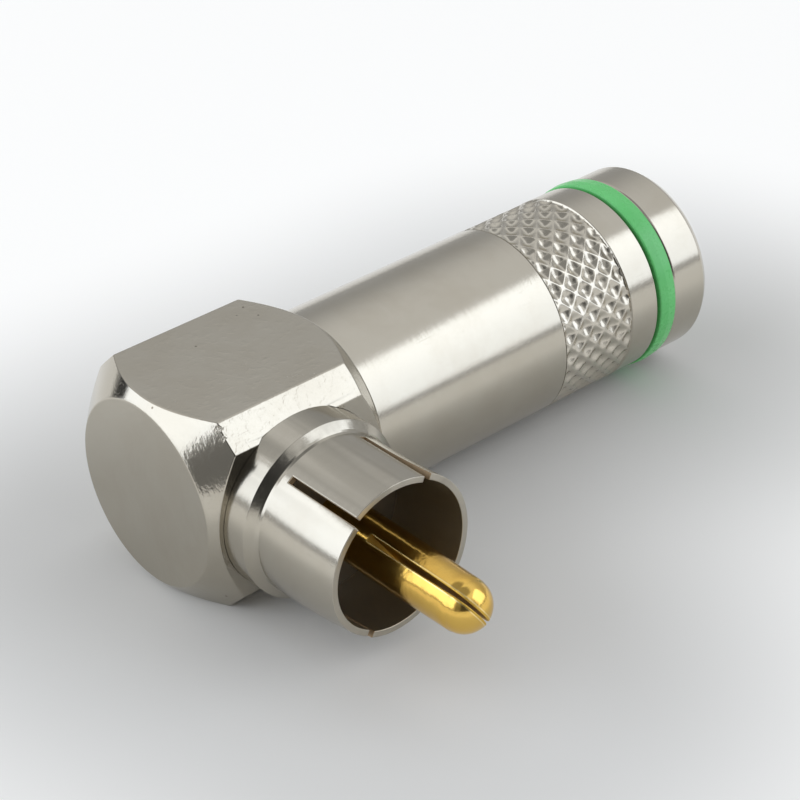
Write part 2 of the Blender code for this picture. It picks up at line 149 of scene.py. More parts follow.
def turned(line, axis, steps=192, closed=False):
    """A form turned on the cable's or the plug's axis from (distance, radius) points."""
    rings = []
    for along, radius in line:
        ring = []
        for k in range(1 if radius < 1e-8 else steps):
            angle = math.tau * k / steps
            across = radius * math.cos(angle)
            height = AXIS_HEIGHT + radius * math.sin(angle)
            ring.append((along, -across, height) if axis == "cable" else (across, -along, height))
        rings.append(ring)
    return skinned(rings, closed)


def as_object(form, name):
    """The form as an object of the scene."""
    mesh = bpy.data.meshes.new(name)
    form.to_mesh(mesh)
    form.free()
    made = bpy.data.objects.new(name, mesh)
    scene.collection.objects.link(made)
    return made


def settled(holder):
    """The object's shape with its modifiers worked in, as a form. The object is removed."""
    bpy.context.view_layer.update()
    graph = bpy.context.evaluated_depsgraph_get()
    mesh = bpy.data.meshes.new_from_object(holder.evaluated_get(graph))
    form = bmesh.new()
    form.from_mesh(mesh)
    bpy.data.objects.remove(holder, do_unlink=True)
    return form


def cut(form, *tools):
    """The form with each tool's form cut out of it."""
    body = as_object(form, "body_to_cut")
    cutters = [as_object(tool, "cutter") for tool in tools]
    for cutter in cutters:
        step = body.modifiers.new("cut", "BOOLEAN")
        step.operation = "DIFFERENCE"
        step.solver = "EXACT"
        step.object = cutter
    made = settled(body)
    for cutter in cutters:
        bpy.data.objects.remove(cutter, do_unlink=True)
    return made


def piece(name, form, finish, body, slot, *nodes, sharp=40.0):
    """A finished piece of the plug: shaded, with its finish, riding on its body."""
    made = as_object(form, name)
    made.data.shade_smooth()
    made.data.set_sharp_from_angle(angle=math.radians(sharp))
    made.data.materials.append(finish)
    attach(made, body)
    if nodes:
        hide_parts(*nodes)
    return made


def add(tree, kind, inputs=None, **settings):
    """A node in the tree. A value that is a socket is linked, any other is set."""
    node = tree.nodes.new(kind)
    for key, value in settings.items():
        setattr(node, key, value)
    for key, value in (inputs or {}).items():
        if isinstance(value, bpy.types.NodeSocket):
            tree.links.new(value, node.inputs[key])
        else:
            node.inputs[key].default_value = value
    return node


def group(name, inputs, outputs):
    """A shader group with named sockets: the tree and its input and output nodes."""
    tree = bpy.data.node_groups.new(name, "ShaderNodeTree")
    for label, kind, value in inputs:
        socket = tree.interface.new_socket(name=label, in_out="INPUT", socket_type=kind)
        socket.default_value = value
    for label, kind in outputs:
        tree.interface.new_socket(name=label, in_out="OUTPUT", socket_type=kind)
    return tree, tree.nodes.new("NodeGroupInput").outputs, tree.nodes.new("NodeGroupOutput")


def plain(tree, operation, first, second=0.0, third=0.0, clamp=False):
    """The result of a Math node."""
    inputs = {0: first, 1: second, 2: third}
    return add(tree, "ShaderNodeMath", inputs, operation=operation, use_clamp=clamp).outputs[0]


def ranged(tree, value, low, high, to_low=0.0, to_high=1.0):
    """The value moved smoothly from one range to another."""
    inputs = {"Value": value, "From Min": low, "From Max": high, "To Min": to_low, "To Max": to_high}
    return add(tree, "ShaderNodeMapRange", inputs, interpolation_type="SMOOTHSTEP").outputs["Result"]


def blended(tree, factor, first, second):
    """Two colours mixed."""
    inputs = {"Factor": factor, 6: first, 7: second}
    return add(tree, "ShaderNodeMix", inputs, data_type="RGBA").outputs[2]


def noise(tree, place, scale, detail, roughness=0.5):
    """Soft noise over the place, as one value."""
    inputs = {"Vector": place, "Scale": scale, "Detail": detail, "Roughness": roughness}
    return add(tree, "ShaderNodeTexNoise", inputs).outputs[0]


def vectors(tree, operation, *inputs):
    """The result of a Vector Math node, one value for a length, a distance or a dot product."""
    node = add(tree, "ShaderNodeVectorMath", dict(enumerate(inputs)), operation=operation)
    return node.outputs["Value" if operation in ("LENGTH", "DISTANCE", "DOT_PRODUCT") else "Vector"]


def parted(tree, vector):
    """The X, Y and Z of a vector."""
    return add(tree, "ShaderNodeSeparateXYZ", {0: vector}).outputs


def from_axes(tree, place):
    """The place as measured from the point where the plug's and the barrel's axes cross."""
    return vectors(tree, "SUBTRACT", place, (0.0, 0.0, AXIS_HEIGHT))


FLOAT = "NodeSocketFloat"
COLOUR = "NodeSocketColor"
VECTOR = "NodeSocketVector"

# Plate: faint clouds of stain, a fine grain and a few dark pinholes.
PINHOLE_TONE = (0.13, 0.10, 0.07, 1.0)
plate_group, plate_in, plate_out = group(
    "bright_plate",
    [
        ("Vector", VECTOR, (0.0, 0.0, 0.0)),
        ("Plate", COLOUR, (0.5, 0.5, 0.5, 1.0)),
        ("Stain", COLOUR, (0.4, 0.4, 0.4, 1.0)),
        ("Stain Scale", FLOAT, 260.0),
        ("Grain Scale", FLOAT, 9000.0),
        ("Pinholes", FLOAT, 1.0),
        ("Roughness", FLOAT, 0.2),
        ("Spread", FLOAT, 0.08),
    ],
    [("Color", COLOUR), ("Roughness", FLOAT), ("Height", FLOAT)],
)
stain = noise(plate_group, plate_in["Vector"], plate_in["Stain Scale"], 4.0, roughness=0.6)
grain = noise(plate_group, plate_in["Vector"], plate_in["Grain Scale"], 2.0)
holes = add(plate_group, "ShaderNodeTexVoronoi", {"Vector": plate_in["Vector"], "Scale": 1100.0}).outputs
chosen = add(plate_group, "ShaderNodeSeparateColor", {0: holes["Color"]}).outputs[0]
hole = plain(plate_group, "MULTIPLY", ranged(plate_group, holes["Distance"], 0.05, 0.10, 1.0, 0.0),
             plain(plate_group, "GREATER_THAN", chosen, 0.50))
hole = plain(plate_group, "MULTIPLY", hole, plate_in["Pinholes"])
clouds = plain(plate_group, "MULTIPLY", ranged(plate_group, stain, 0.35, 0.68), 0.45)
tone = blended(plate_group, clouds, plate_in["Plate"], plate_in["Stain"])
tone = blended(plate_group, plain(plate_group, "MULTIPLY", hole, 0.75), tone, PINHOLE_TONE)
roughness = plain(plate_group, "MULTIPLY_ADD", plain(plate_group, "SUBTRACT", stain, 0.5),
                  plate_in["Spread"], plate_in["Roughness"])
roughness = plain(plate_group, "MULTIPLY_ADD", plain(plate_group, "SUBTRACT", grain, 0.5),
                  plate_in["Spread"], roughness, clamp=True)
height = plain(plate_group, "SUBTRACT", plain(plate_group, "MULTIPLY", grain, 0.35), hole)
for label, value in (("Color", tone), ("Roughness", roughness), ("Height", height)):
    plate_group.links.new(value, plate_out.inputs[label])

# Scratches: short fine lines in two directions, gathered in patches. A direction is a turn of the
# place they are drawn on, and how far it is squeezed along each side.
SCRATCH_RUNS = (
    ((0.3, 0.2, 0.7), (900.0, 12000.0, 12000.0)),
    ((0.9, -0.4, -0.5), (9000.0, 700.0, 9000.0)),
)
scratch_group, scratch_in, scratch_out = group(
    "fine_scratches",
    [("Vector", VECTOR, (0.0, 0.0, 0.0)), ("Amount", FLOAT, 1.0)],
    [("Mask", FLOAT)],
)
patches = noise(scratch_group, scratch_in["Vector"], 420.0, 1.0)
mask = None
for turn, squeeze in SCRATCH_RUNS:
    run = add(scratch_group, "ShaderNodeMapping", {
        "Vector": scratch_in["Vector"], "Rotation": turn, "Scale": squeeze}).outputs[0]
    scratch = ranged(scratch_group, noise(scratch_group, run, 1.0, 0.0), 0.72, 0.80)
    mask = scratch if mask is None else plain(scratch_group, "MAXIMUM", mask, scratch)
mask = plain(scratch_group, "MULTIPLY", mask, ranged(scratch_group, patches, 0.45, 0.62))
mask = plain(scratch_group, "MULTIPLY", mask, scratch_in["Amount"], clamp=True)
scratch_group.links.new(mask, scratch_out.inputs["Mask"])

# Tool marks: fine lines that cross one direction, as a lathe tool or a drawing die leaves.
marks_group, marks_in, marks_out = group(
    "tool_marks",
    [("Across", FLOAT, 0.0), ("Fine", FLOAT, 18000.0), ("Coarse", FLOAT, 2500.0)],
    [("Height", FLOAT)],
)
tool_lines = {}
for label, detail in (("Fine", 2.0), ("Coarse", 1.0)):
    along = plain(marks_group, "MULTIPLY", marks_in["Across"], marks_in[label])
    tool_lines[label] = add(marks_group, "ShaderNodeTexNoise", {
        "W": along, "Scale": 1.0, "Detail": detail}, noise_dimensions="1D").outputs[0]
height = plain(marks_group, "MULTIPLY_ADD", tool_lines["Fine"], 0.4, tool_lines["Coarse"])
marks_group.links.new(height, marks_out.inputs["Height"])

METAL_RELIEF = 4e-6
SCRATCH_DEPTH = 0.8
SCRATCH_DULLNESS = 0.15


def metal(name, plate, stain_tint, across, marks, roughness, scratches=0.5, pinholes=0.0):
    """A plated metal whose tool marks cross the named direction."""
    made = bpy.data.materials.new(name)
    made.use_nodes = True
    tree = made.node_tree
    shader = tree.nodes["Principled BSDF"]
    shader.inputs["Metallic"].default_value = 1.0
    place = add(tree, "ShaderNodeTexCoord").outputs["Object"]
    surface = add(tree, "ShaderNodeGroup", {
        "Vector": place, "Plate": (*plate, 1.0), "Stain": (*stain_tint, 1.0), "Pinholes": pinholes,
        "Roughness": roughness}, node_tree=plate_group).outputs
    wear = add(tree, "ShaderNodeGroup", {"Vector": place, "Amount": scratches},
               node_tree=scratch_group).outputs["Mask"]
    lathe = add(tree, "ShaderNodeGroup", {"Across": parted(tree, place)[across]},
                node_tree=marks_group).outputs["Height"]
    height = plain(tree, "MULTIPLY_ADD", lathe, marks, surface["Height"])
    height = plain(tree, "MULTIPLY_ADD", wear, -SCRATCH_DEPTH, height)
    relief = add(tree, "ShaderNodeBump", {"Height": height, "Strength": 1.0, "Distance": METAL_RELIEF})
    rough = plain(tree, "MULTIPLY_ADD", wear, SCRATCH_DULLNESS, surface["Roughness"], clamp=True)
    tree.links.new(surface["Color"], shader.inputs["Base Color"])
    tree.links.new(rough, shader.inputs["Roughness"])
    tree.links.new(relief.outputs[0], shader.inputs["Normal"])
    return made


def finish_nodes(finish):
    """A metal's tree, its shader and its bump, for a piece that adds its own marks to them."""
    tree = finish.node_tree
    relief = next(node for node in tree.nodes if node.bl_idname == "ShaderNodeBump")
    return tree, tree.nodes["Principled BSDF"], relief


def feed(node, label):
    """What feeds the node's input."""
    return node.inputs[label].links[0].from_socket


# The elbow's plate. The cone at the closed end shows the chatter of the tool that turned it, and the
# flats a faint hammered skin. One corner has two ragged nicks: their places, sizes and depths.
NICKEL_COLOUR = (0.48, 0.448, 0.382)
NICKEL_STAIN = (0.43, 0.390, 0.320)
CORNER_NICKS = (
    ((-0.00433, -0.00480, 0.01186), 0.00026, 14.0),
    ((-0.00434, -0.00525, 0.01143), 0.00018, 11.0),
)
NICK_RAGGEDNESS = (0.0007, 0.0007, 0.0007)
CHATTER_ACROSS = 7000.0
CHATTER_ROUND = 16.0
CHATTER_DEPTH = 3.0
HAMMERED_HEIGHT = 1.1
drawn_nickel = metal("drawn_nickel", NICKEL_COLOUR, NICKEL_STAIN, "Y", marks=0.35, roughness=0.20,
                     scratches=0.40, pinholes=1.0)
bar_tree, shader, relief = finish_nodes(drawn_nickel)
place = add(bar_tree, "ShaderNodeTexCoord").outputs["Object"]
off_axis = vectors(bar_tree, "MULTIPLY", from_axes(bar_tree, place), (0.0, 1.0, 1.0))
reach = vectors(bar_tree, "LENGTH", off_axis)
cone_place = plain(bar_tree, "MULTIPLY_ADD", reach, CLOSED_CONE, -HALF_BAR - CLOSED_FACE * CLOSED_CONE)
behind = plain(bar_tree, "SUBTRACT", parted(bar_tree, place)["X"], cone_place)
on_cone = plain(bar_tree, "MULTIPLY", ranged(bar_tree, behind, 0.00003, 0.00007, 1.0, 0.0),
                ranged(bar_tree, reach, CLOSED_FACE + 0.00005, CLOSED_FACE + 0.00015))
parts = parted(bar_tree, off_axis)
sweep = plain(bar_tree, "ARCTAN2", parts["Z"], parts["Y"])
lathe_place = add(bar_tree, "ShaderNodeCombineXYZ", {
    "X": plain(bar_tree, "MULTIPLY", reach, CHATTER_ACROSS),
    "Y": plain(bar_tree, "MULTIPLY", sweep, CHATTER_ROUND)}).outputs[0]
rough_turned = plain(bar_tree, "MULTIPLY", on_cone,
                     ranged(bar_tree, parts["Y"], -0.0034, -0.0020, 1.0, 0.0))
chatter = plain(bar_tree, "MULTIPLY", noise(bar_tree, lathe_place, 1.0, 3.0), CHATTER_DEPTH)
chatter = plain(bar_tree, "MULTIPLY", rough_turned, chatter)
dents = plain(bar_tree, "ADD", feed(relief, "Height"), chatter)
ragged = add(bar_tree, "ShaderNodeTexNoise", {"Vector": place, "Scale": 5000.0, "Detail": 2.0})
ragged = vectors(bar_tree, "SUBTRACT", ragged.outputs["Color"], (0.5, 0.5, 0.5))
ragged = vectors(bar_tree, "MULTIPLY_ADD", ragged, NICK_RAGGEDNESS, place)
for spot, size, depth in CORNER_NICKS:
    nick = ranged(bar_tree, vectors(bar_tree, "DISTANCE", ragged, spot), 0.3 * size, size, 1.0, 0.0)
    dents = plain(bar_tree, "MULTIPLY_ADD", nick, -depth, dents)
hammered = ranged(bar_tree, noise(bar_tree, place, 2600.0, 3.0), 0.52, 0.66, 0.0, HAMMERED_HEIGHT)
hammered = plain(bar_tree, "MULTIPLY", hammered, plain(bar_tree, "SUBTRACT", 1.0, on_cone))
bar_tree.links.new(plain(bar_tree, "ADD", dents, hammered), relief.inputs["Height"])
polished = plain(bar_tree, "MULTIPLY_ADD", on_cone, -0.08, feed(shader, "Roughness"))
bar_tree.links.new(polished, shader.inputs["Roughness"])

corner = HALF_BAR - BAR_BEVEL
outline = [(HALF_BAR, -corner), (HALF_BAR, corner), (corner, HALF_BAR), (-corner, HALF_BAR),
           (-HALF_BAR, corner), (-HALF_BAR, -corner), (-corner, -HALF_BAR), (corner, -HALF_BAR)]
outline = filled(eased(outline, BAR_EDGE, closed=True), spacing=0.00016, closed=True)
columns = []
for across, height in outline:
    reach = math.hypot(across, height)
    line = eased([
        (-HALF_BAR, 0.0),
        (-HALF_BAR, CLOSED_FACE),
        (-HALF_BAR + (reach - CLOSED_FACE) * CLOSED_CONE, reach),
        (HALF_BAR - (reach - OPEN_FACE) * OPEN_CONE, reach),
        (HALF_BAR, OPEN_FACE),
        (HALF_BAR, 0.0),
    ], BAR_EDGE)
    columns.append([(along, across * r / reach, AXIS_HEIGHT + height * r / reach) for along, r in line])
rings = [[column[k] for column in columns] for k in range(len(columns[0]))]
rings[0] = rings[0][:1]
rings[-1] = rings[-1][:1]
cable_bore = [(CUTTER_END, 0.0), (CUTTER_END, ELBOW_BORE), (ELBOW_BORE_END, ELBOW_BORE),
              (ELBOW_BORE_END, 0.0)]
plug_bore = [(CUTTER_END, 0.0), (CUTTER_END, SPOT_FACE), (COLLAR_SEAT, SPOT_FACE),
             (COLLAR_SEAT, PLUG_BORE), (0.0, PLUG_BORE), (0.0, 0.0)]
elbow = cut(skinned(rings), turned(cable_bore, "cable", steps=96), turned(plug_bore, "plug"))
piece("elbow", elbow, drawn_nickel, "plug_body", "nickel", "elbow_body", sharp=50.0)


# Plug shell. The outer contact, turned in one piece: a spigot in the elbow, a collar with a small
# cone and land, and a thin tube. Two saw cuts right across it leave four tines, sprung by hand.
SHELL_RIM = 0.01395
SHELL_RADIUS = 0.00480
SHELL_BORE = 0.00442
SHELL_FLOOR = 0.00791
COLLAR_RADIUS = 0.00534
COLLAR_CONE = ((0.00832, SHELL_RADIUS), (0.00816, 0.00484), (0.00806, 0.00493), (0.00769, COLLAR_RADIUS))
SPIGOT_RADIUS = 0.0036
SPIGOT_BORE = 0.0027
SPIGOT_END = 0.00425
SAW_CUT_WIDTH = 0.00040
SAW_CUT_LENGTH = 0.00510
SAW_CUT_ANGLES = (63.0, 126.0)
SAW_CUT_WEAR = 0.00007
SAW_CUT_WORN_DEPTH = 7.0
SAW_REACH = 0.03
TINE_SPRINGS = (0.00005, -0.00035, -0.00026, 0.00024)
BORE_TONE = (0.56, 0.49, 0.37, 1.0)
BORE_ROUGHNESS = 0.40
SAWN_TONE = (0.40, 0.30, 0.19, 1.0)
SAWN_ROUGHNESS = 0.65
STREAK_TONE = (0.345, 0.320, 0.270, 1.0)
STREAK_SCALE = (750.0, 40.0, 750.0)
STREAK_HEIGHT = 8.0


def slab(length, width, rim, degrees):
    """A flat cutter that lies along the plug's axis and right across it, at an angle round it."""
    form = bmesh.new()
    bmesh.ops.create_cube(form, size=1.0)
    angle = math.radians(degrees)
    for vertex in form.verts:
        far = vertex.co.x * SAW_REACH
        side = vertex.co.y * width
        along = rim + vertex.co.z * 2 * length
        across = far * math.cos(angle) - side * math.sin(angle)
        height = far * math.sin(angle) + side * math.cos(angle)
        vertex.co = (across, -along, AXIS_HEIGHT + height)
    return outward(form)


# Saw cut: where a surface lies inside a cut that runs right across the plug's axis, and a band along
# the edge beside it, which the shell shows as wear and the pin as a painted highlight.
saw_group, saw_in, saw_out = group(
    "saw_cut",
    [
        ("Vector", VECTOR, (0.0, 0.0, 0.0)),
        ("Across", VECTOR, (0.0, 0.0, 1.0)),
        ("Half Width", FLOAT, 0.0002),
        ("Root", FLOAT, -0.01),
        ("Edge Band Width", FLOAT, 0.00007),
    ],
    [("Inside", FLOAT), ("Wear And Sheen", FLOAT)],
)
off_axis = from_axes(saw_group, saw_in["Vector"])
off_plane = vectors(saw_group, "DOT_PRODUCT", off_axis, saw_in["Across"])
off_wall = plain(saw_group, "SUBTRACT", plain(saw_group, "ABSOLUTE", off_plane), saw_in["Half Width"])
depth = plain(saw_group, "SUBTRACT", saw_in["Root"], parted(saw_group, off_axis)["Y"])
beyond_root = ranged(saw_group, depth, -0.00010, -0.00002)
for label, near, far in (("Inside", 0.00001, 0.00003), ("Wear And Sheen", 0.0, saw_in["Edge Band Width"])):
    mask = plain(saw_group, "MULTIPLY", beyond_root, ranged(saw_group, off_wall, near, far, 1.0, 0.0))
    saw_group.links.new(mask, saw_out.inputs[label])


def saw_cut(tree, place, degrees, width, root, wear_and_sheen_width):
    """The inside of one saw cut across the plug's axis, and the band along its edge (wear on the shell, a
    painted highlight on the pin), as two masks.
    """
    turn = math.radians(degrees)
    masks = add(tree, "ShaderNodeGroup", {
        "Vector": place, "Across": (-math.sin(turn), 0.0, math.cos(turn)), "Half Width": width / 2,
        "Root": root, "Edge Band Width": wear_and_sheen_width}, node_tree=saw_group).outputs
    return masks["Inside"], masks["Wear And Sheen"]


# The shell's plate is thin and dull in the bore and on the rim. The saw cuts through it are bare and
# rough, and the edges beside them are worn.
shell_nickel = metal("turned_nickel_plug", NICKEL_COLOUR, NICKEL_STAIN, "Y", marks=0.8, roughness=0.17,
                     scratches=0.3)
shell_tree, shader, relief = finish_nodes(shell_nickel)
seat = add(shell_tree, "ShaderNodeTexCoord").outputs
off_axis = from_axes(shell_tree, seat["Object"])
parts = parted(shell_tree, off_axis)
facing = vectors(shell_tree, "MULTIPLY", seat["Normal"], (1.0, 0.0, 1.0))
facing = vectors(shell_tree, "DOT_PRODUCT", facing, off_axis)
in_bore = ranged(shell_tree, facing, -0.0030, -0.0015, 1.0, 0.0)
saw_root = SAW_CUT_LENGTH - SHELL_RIM
cuts = [saw_cut(shell_tree, seat["Object"], degrees, SAW_CUT_WIDTH, saw_root, SAW_CUT_WEAR)
        for degrees in SAW_CUT_ANGLES]
in_cut = plain(shell_tree, "MAXIMUM", cuts[0][0], cuts[1][0])
worn_edge = plain(shell_tree, "MAXIMUM", cuts[0][1], cuts[1][1])
worn_edge = plain(shell_tree, "MULTIPLY", worn_edge, -SAW_CUT_WORN_DEPTH)
tone = blended(shell_tree, in_bore, feed(shader, "Base Color"), BORE_TONE)
tone = blended(shell_tree, in_cut, tone, SAWN_TONE)
on_rim = ranged(shell_tree, parts["Y"], -SHELL_RIM + 0.00002, -SHELL_RIM + 0.00005, 1.0, 0.0)
in_bore = plain(shell_tree, "MAXIMUM", in_bore, on_rim)
dull = plain(shell_tree, "MAXIMUM", plain(shell_tree, "MULTIPLY", in_bore, BORE_ROUGHNESS),
             plain(shell_tree, "MULTIPLY", in_cut, SAWN_ROUGHNESS))
dull = plain(shell_tree, "MAXIMUM", feed(shader, "Roughness"), dull)
# The top of the tube is wiped in faint streaks along it.
wiped = add(shell_tree, "ShaderNodeMapping", {"Vector": seat["Object"], "Scale": STREAK_SCALE})
wiped = noise(shell_tree, wiped.outputs[0], 1.0, 2.0)
on_top = ranged(shell_tree, parts["Z"], 0.0026, 0.0040)
streaks = plain(shell_tree, "MULTIPLY", ranged(shell_tree, wiped, 0.40, 0.62, 0.0, 0.80), on_top)
tone = blended(shell_tree, streaks, tone, STREAK_TONE)
shell_tree.links.new(tone, shader.inputs["Base Color"])
shell_tree.links.new(dull, shader.inputs["Roughness"])
wiped = plain(shell_tree, "MULTIPLY", wiped, plain(shell_tree, "MULTIPLY", on_top, STREAK_HEIGHT))
wiped = plain(shell_tree, "ADD", feed(relief, "Height"), wiped)
shell_tree.links.new(plain(shell_tree, "ADD", wiped, worn_edge), relief.inputs["Height"])

shell_line = [
    (SHELL_RIM, SHELL_RADIUS), *COLLAR_CONE, (COLLAR_SEAT, COLLAR_RADIUS), (COLLAR_SEAT, SPIGOT_RADIUS),
    (SPIGOT_END, SPIGOT_RADIUS), (SPIGOT_END, SPIGOT_BORE), (SHELL_FLOOR, SPIGOT_BORE),
    (SHELL_FLOOR, SHELL_BORE), (SHELL_RIM, SHELL_BORE),
]
shell_line = eased(shell_line, 0.00004, steps=3, closed=True, guard=0.00001)
shell_line = filled(shell_line, spacing=0.0004, closed=True)
shell = cut(
    turned(shell_line, "plug", steps=256, closed=True),
    slab(SAW_CUT_LENGTH, SAW_CUT_WIDTH, SHELL_RIM, SAW_CUT_ANGLES[0]),
    slab(SAW_CUT_LENGTH, SAW_CUT_WIDTH, SHELL_RIM, SAW_CUT_ANGLES[1] + 180.0),
)
tine_starts = [*SAW_CUT_ANGLES, *[angle + 180.0 for angle in SAW_CUT_ANGLES]]
for vertex in shell.verts:
    share = (-vertex.co.y - (SHELL_RIM - SAW_CUT_LENGTH)) / SAW_CUT_LENGTH
    if share <= 0.0:
        continue
    away = Vector((vertex.co.x, 0.0, vertex.co.z - AXIS_HEIGHT)).normalized()
    degrees = math.degrees(math.atan2(away.z, away.x)) % 360.0
    tine = max((i for i, start in enumerate(tine_starts) if degrees >= start), default=3)
    vertex.co += away * TINE_SPRINGS[tine] * share ** 2
piece("shell", shell, shell_nickel, "plug_body", "nickel", "plug_shell", sharp=35.0)


# Pin insulator. A black moulded bush pressed in the bottom of the shell, with a narrower tail that
# reaches through the shell's spigot into the elbow. It carries the centre pin.
BUSH_FACE = 0.00891
BUSH_BACK = 0.0034
BUSH_RADIUS = 0.00443
BUSH_TAIL = 0.0026
BUSH_BORE = 0.0013

# Moulded skin: two close tones in soft clouds, and an orange-peel surface.
skin_group, skin_in, skin_out = group(
    "moulded_skin",
    [
        ("Vector", VECTOR, (0.0, 0.0, 0.0)),
        ("Tone", COLOUR, (0.5, 0.5, 0.5, 1.0)),
        ("Second Tone", COLOUR, (0.4, 0.4, 0.4, 1.0)),
        ("Peel Scale", FLOAT, 2500.0),
        ("Roughness", FLOAT, 0.4),
        ("Spread", FLOAT, 0.06),
    ],
    [("Color", COLOUR), ("Roughness", FLOAT), ("Height", FLOAT)],
)
peel = noise(skin_group, skin_in["Vector"], skin_in["Peel Scale"], 3.0)
clouds = ranged(skin_group, noise(skin_group, skin_in["Vector"], 300.0, 2.0), 0.3, 0.7)
tone = blended(skin_group, clouds, skin_in["Tone"], skin_in["Second Tone"])
roughness = plain(skin_group, "MULTIPLY_ADD", ranged(skin_group, peel, 0.2, 0.8, -1.0, 1.0),
                  skin_in["Spread"], skin_in["Roughness"], clamp=True)
for label, value in (("Color", tone), ("Roughness", roughness), ("Height", peel)):
    skin_group.links.new(value, skin_out.inputs[label])

SKIN_RELIEF = 6e-6


def moulded(name, colour, second, roughness):
    """A moulded plastic or rubber."""
    made = bpy.data.materials.new(name)
    made.use_nodes = True
    tree = made.node_tree
    shader = tree.nodes["Principled BSDF"]
    surface = add(tree, "ShaderNodeGroup", {
        "Vector": add(tree, "ShaderNodeTexCoord").outputs["Object"], "Tone": (*colour, 1.0),
        "Second Tone": (*second, 1.0), "Roughness": roughness}, node_tree=skin_group).outputs
    relief = add(tree, "ShaderNodeBump", {
        "Height": surface["Height"], "Strength": 1.0, "Distance": SKIN_RELIEF})
    tree.links.new(surface["Color"], shader.inputs["Base Color"])
    tree.links.new(surface["Roughness"], shader.inputs["Roughness"])
    tree.links.new(relief.outputs[0], shader.inputs["Normal"])
    return made


black_plastic = moulded("black_plastic", (0.060, 0.048, 0.034), (0.072, 0.058, 0.042), roughness=0.42)
bush_line = [(BUSH_FACE, BUSH_RADIUS), (SHELL_FLOOR, BUSH_RADIUS), (SHELL_FLOOR, BUSH_TAIL),
             (BUSH_BACK, BUSH_TAIL), (BUSH_BACK, BUSH_BORE), (BUSH_FACE, BUSH_BORE)]
bush = turned(eased(bush_line, 0.00002, closed=True), "plug", steps=128, closed=True)
piece("insulator_bush", bush, black_plastic, "plug_body", "black_plastic", "pin_insulator")


# Centre pin. Turned brass with thick gold plate and a rounded nose. A saw cut splits its end in
# two halves that are sprung a little together, and its burred cut edges carry a painted highlight.
PIN_RADIUS = 0.0016
PIN_TIP = 0.02059
PIN_BACK = -0.0013
PIN_SHANK = 0.0012
NOSE_LENGTH = 0.0014
NOSE_RADIUS = 0.00157
NOSE_STEP = 0.00005
PIN_CUT_ROOT = 0.0128
PIN_CUT_WIDTH = 0.00036
PIN_CUT_ANGLE = 124.5
PIN_CUT_BURR = 0.00006
PIN_CUT_SHEEN_WIDTH = 0.00011
PIN_SQUEEZE = 0.00010
PIN_SUNK = 0.00003
CROSS_HOLE = 0.0007
GOLD_COLOUR = (0.77, 0.50, 0.12)
GOLD_STAIN = (0.63, 0.35, 0.06)
GOLD_BURR_HIGHLIGHT = (0.92, 0.70, 0.30, 1.0)
GOLD_CUT_TONE = (0.70, 0.46, 0.09, 1.0)
GOLD_CUT_ROUGHNESS = 0.50
GOLD_WAVES = 5.0


def split_half(side):
    """One half of the split end: D-shaped rings from inside the root of the cut to the tip."""
    turn = math.radians(PIN_CUT_ANGLE)
    across = Vector((-math.sin(turn), 0.0, math.cos(turn))) * side
    upright = Vector((math.cos(turn), 0.0, math.sin(turn)))
    near = PIN_CUT_WIDTH / 2
    hidden = PIN_RADIUS - PIN_SUNK
    stations = [(PIN_CUT_ROOT - 0.0003, hidden), (PIN_CUT_ROOT - 0.00002, hidden)]
    straight = PIN_TIP - NOSE_LENGTH - PIN_CUT_ROOT
    stations += [(PIN_CUT_ROOT + straight * k / 12, PIN_RADIUS) for k in range(13)]
    for k in range(15):
        angle = math.radians(85.5) * k / 14
        radius = NOSE_RADIUS * math.cos(angle)
        if radius > near + 0.00004:
            along = PIN_TIP - NOSE_LENGTH + NOSE_STEP + (NOSE_LENGTH - NOSE_STEP) * math.sin(angle)
            stations.append((along, radius))
    rings = []
    for along, radius in stations:
        burr = min(PIN_CUT_BURR, 0.3 * (radius - near))
        high = math.sqrt((radius - burr) ** 2 - (near + burr) ** 2)
        sweep = math.atan2(high, near + burr)
        half = [(radius * math.cos(sweep * k / 20), radius * math.sin(sweep * k / 20)) for k in range(21)]
        for k in range(1, 6):
            angle = sweep + (math.pi - sweep) * k / 5
            half.append((near + burr + burr * math.cos(angle), high + burr * math.sin(angle)))
        half += [(near, high * (1 - k / 4)) for k in range(1, 4)]
        section = half + [(near, 0.0)] + [(out, -up) for out, up in reversed(half[1:])]
        share = max(0.0, (along - PIN_CUT_ROOT) / (PIN_TIP - PIN_CUT_ROOT))
        middle = Vector((0.0, -along, AXIS_HEIGHT)) - across * PIN_SQUEEZE * share ** 2
        rings.append([middle + across * out + upright * up for out, up in section])
    ends = [[sum(rings[k], Vector()) / len(rings[k])] for k in (0, -1)]
    return skinned([ends[0], *rings, ends[1]])


# The thick gold is faintly wavy, painted lighter on the burrs along the cut as a painted highlight,
# and rough inside it.
gold = metal("gold_plate", GOLD_COLOUR, GOLD_STAIN, "Y", marks=0.6, roughness=0.18, scratches=0.3)
gold_tree, shader, relief = finish_nodes(gold)
place = add(gold_tree, "ShaderNodeTexCoord").outputs["Object"]
in_cut, burr_band = saw_cut(gold_tree, place, PIN_CUT_ANGLE, PIN_CUT_WIDTH, -PIN_CUT_ROOT, PIN_CUT_SHEEN_WIDTH)
burr = plain(gold_tree, "MULTIPLY", ranged(gold_tree, burr_band, 0.0, 0.3),
             plain(gold_tree, "SUBTRACT", 1.0, in_cut))
